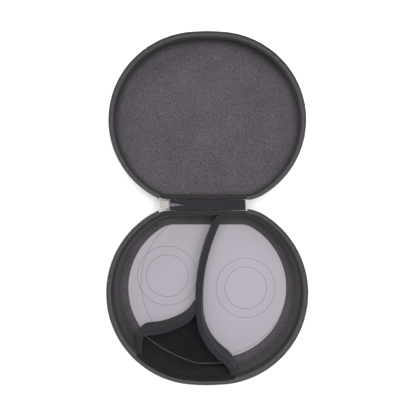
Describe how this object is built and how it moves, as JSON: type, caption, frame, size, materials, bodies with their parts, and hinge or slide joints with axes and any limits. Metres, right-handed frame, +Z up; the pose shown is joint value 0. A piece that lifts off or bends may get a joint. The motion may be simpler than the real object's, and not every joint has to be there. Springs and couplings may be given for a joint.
{
  "type": "headphone carrying case",
  "caption": "Zip-round moulded headphone case, open flat, with a deep base holding a divider, a cup cradle and a cable pocket, and a shallow hinged lid.",
  "frame": {"origin": "centre of the base shell's flat underside, on the table", "axes": "+X to the right seen from the front, +Y towards the hinge and the open lid, +Z up out of the base"},
  "size_m": [0.2182, 0.3887, 0.0465],
  "materials": {
    "cover_fabric": "woven",
    "eva_foam": "matt",
    "lining_fabric": "brushed",
    "binding_fabric": "matt",
    "webbing_fabric": "woven",
    "coil_nylon": "satin",
    "slider_metal": "polished",
    "pull_metal": "satin",
    "printed_card": "matt"
  },
  "bodies": {
    "base": {"base_outer_cover": "cover_fabric", "base_shell_core": "eva_foam", "base_lining": "lining_fabric", "base_rim_binding": "binding_fabric", "base_zip_tape": "webbing_fabric", "base_zip_coil": "coil_nylon", "base_zip_top_stop": "slider_metal", "base_hinge_hem": "webbing_fabric", "divider_core": "eva_foam", "divider_cover": "lining_fabric", "cradle_core": "eva_foam", "cradle_cover": "lining_fabric", "pocket_front_ramp": "eva_foam", "pocket_floor_board": "lining_fabric", "pocket_lip": "lining_fabric", "left_floor_card": "printed_card", "right_floor_card": "printed_card"},
    "hinge_strip": {"hinge_inner_strip": "webbing_fabric", "hinge_outer_strip": "webbing_fabric", "zip_end_patch": "webbing_fabric"},
    "lid": {"lid_outer_cover": "cover_fabric", "lid_shell_core": "eva_foam", "lid_lining": "lining_fabric", "lid_rim_binding": "binding_fabric", "lid_zip_tape": "webbing_fabric", "lid_zip_coil": "coil_nylon", "lid_zip_top_stop": "slider_metal", "lid_hinge_hem": "webbing_fabric"},
    "zip_slider": {"zip_slider_body": "slider_metal", "zip_slider_crown": "slider_metal"},
    "zip_pull": {"zip_pull": "pull_metal"}
  },
  "joints": [
    {"name": "base_fold", "type": "hinge", "parent": "base", "child": "hinge_strip", "pos_m": [0, 0.09526, 0.042], "axis": [1, 0, 0], "range_deg": [0, 123]},
    {"name": "lid_fold", "type": "hinge", "parent": "hinge_strip", "child": "lid", "pos_m": [0, 0.10323, 0.03683], "axis": [1, 0, 0], "range_deg": [0, 62.21]},
    {"name": "slider_rock", "type": "hinge", "parent": "hinge_strip", "child": "zip_slider", "pos_m": [-0.0463, 0.09925, 0.03941], "axis": [1, 0, 0], "range_deg": [-33, 0]},
    {"name": "pull_swing", "type": "hinge", "parent": "zip_slider", "child": "zip_pull", "pos_m": [-0.0453, 0.09925, 0.03521], "axis": [0, 1, 0], "range_deg": [0, 170]}
  ],
  "couplings": [
    {"joint": "lid_fold", "follows": "base_fold", "ratio": 0.50573},
    {"joint": "slider_rock", "follows": "base_fold", "ratio": -0.26829}
  ]
}
